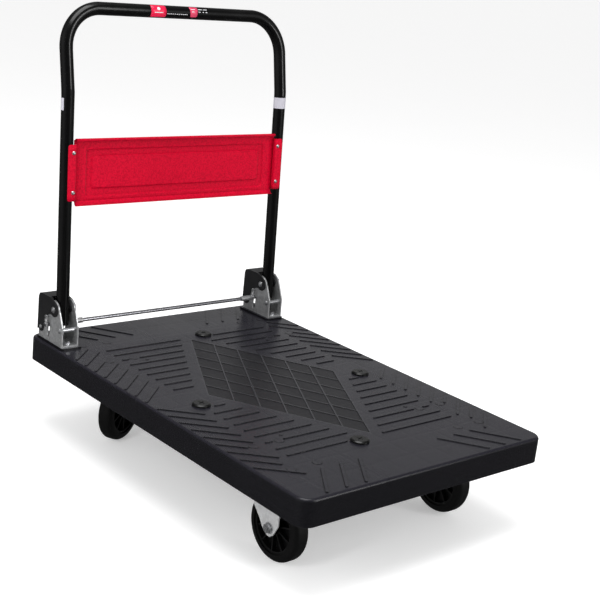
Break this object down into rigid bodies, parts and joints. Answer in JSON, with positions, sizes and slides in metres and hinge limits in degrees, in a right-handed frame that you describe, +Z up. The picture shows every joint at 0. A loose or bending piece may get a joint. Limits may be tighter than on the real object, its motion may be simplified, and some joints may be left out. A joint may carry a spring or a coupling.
{
  "type": "folding platform cart",
  "caption": "Platform cart with a moulded ribbed deck, rigid front and swivel rear casters, and a tubular push handle that folds over the deck.",
  "frame": {"origin": "on the floor, under the middle of the deck", "axes": "+X across the deck, +Y along the deck towards the push handle, +Z up"},
  "size_m": [0.6, 0.9, 0.8895],
  "materials": {
    "deck_plastic": "matt, finely grained",
    "black_plastic": "satin",
    "tube_paint": "gloss powder coat",
    "panel_paint": "gloss powder coat",
    "label": "printed film, no lettering",
    "tape": "printed tape, no lettering",
    "bush_plastic": "natural nylon",
    "tyre": "matt",
    "wheel_plastic": "satin",
    "spring_steel": "bright",
    "plain_steel": "plain",
    "zinc_steel": "bright zinc"
  },
  "bodies": {
    "base": {"deck": "deck_plastic", "deck_plugs": "black_plastic", "caster_bolts": "zinc_steel", "hinge_bracket_left": "zinc_steel", "hinge_bracket_right": "zinc_steel", "bracket_cover_left": "black_plastic", "bracket_cover_right": "black_plastic", "cover_rivets": "zinc_steel", "bracket_bolts": "zinc_steel", "spacer_pins": "zinc_steel", "pivot_pins": "zinc_steel", "spring_anchors": "zinc_steel", "return_springs": "spring_steel", "rigid_frame_left": "zinc_steel", "rigid_frame_right": "zinc_steel", "front_axle_bolts": "zinc_steel", "front_axle_nuts": "zinc_steel", "front_axle_sleeves": "plain_steel", "swivel_plates": "zinc_steel", "kingpins": "plain_steel"},
    "handle": {"handle_tube": "tube_paint", "pivot_bushes": "bush_plastic", "back_panel": "panel_paint", "panel_screws": "zinc_steel", "grip_label": "label", "post_tapes": "tape"},
    "rod": {"release_rod": "zinc_steel", "rod_sleeves": "plain_steel", "rod_clips": "plain_steel"},
    "swivel_left": {"swivel_fork_left": "zinc_steel", "bearing_balls_left": "plain_steel", "rear_axle_bolt_left": "zinc_steel", "rear_axle_nut_left": "zinc_steel", "rear_axle_sleeve_left": "plain_steel"},
    "swivel_right": {"swivel_fork_right": "zinc_steel", "bearing_balls_right": "plain_steel", "rear_axle_bolt_right": "zinc_steel", "rear_axle_nut_right": "zinc_steel", "rear_axle_sleeve_right": "plain_steel"},
    "wheel_fl": {"wheel_front_left": "wheel_plastic", "tyre_front_left": "tyre"},
    "wheel_fr": {"wheel_front_right": "wheel_plastic", "tyre_front_right": "tyre"},
    "wheel_rl": {"wheel_rear_left": "wheel_plastic", "tyre_rear_left": "tyre"},
    "wheel_rr": {"wheel_rear_right": "wheel_plastic", "tyre_rear_right": "tyre"}
  },
  "joints": [
    {"name": "handle_fold", "type": "hinge", "parent": "base", "child": "handle", "pos_m": [0, 0.368, 0.274], "axis": [1, 0, 0], "range_deg": [0, 100.5]},
    {"name": "rod_press", "type": "slide", "parent": "base", "child": "rod", "axis": [0, 0, -1], "range_m": [0, 0.022], "stiffness_N_per_m": 1200, "springref_m": -0.008, "deforming": ["return_springs"]},
    {"name": "swivel_left", "type": "hinge", "parent": "base", "child": "swivel_left", "pos_m": [-0.207, 0.269, 0.15], "axis": [0, 0, 1], "continuous": true},
    {"name": "swivel_right", "type": "hinge", "parent": "base", "child": "swivel_right", "pos_m": [0.207, 0.269, 0.15], "axis": [0, 0, 1], "continuous": true},
    {"name": "roll_front_left", "type": "hinge", "parent": "base", "child": "wheel_fl", "pos_m": [-0.207, -0.292, 0.065], "axis": [1, 0, 0], "continuous": true},
    {"name": "roll_front_right", "type": "hinge", "parent": "base", "child": "wheel_fr", "pos_m": [0.207, -0.292, 0.065], "axis": [1, 0, 0], "continuous": true},
    {"name": "roll_rear_left", "type": "hinge", "parent": "swivel_left", "child": "wheel_rl", "pos_m": [-0.1678, 0.28898, 0.065], "axis": [-0.454, 0.891, 0], "continuous": true},
    {"name": "roll_rear_right", "type": "hinge", "parent": "swivel_right", "child": "wheel_rr", "pos_m": [0.1678, 0.28898, 0.065], "axis": [0.454, 0.891, 0], "continuous": true}
  ]
}
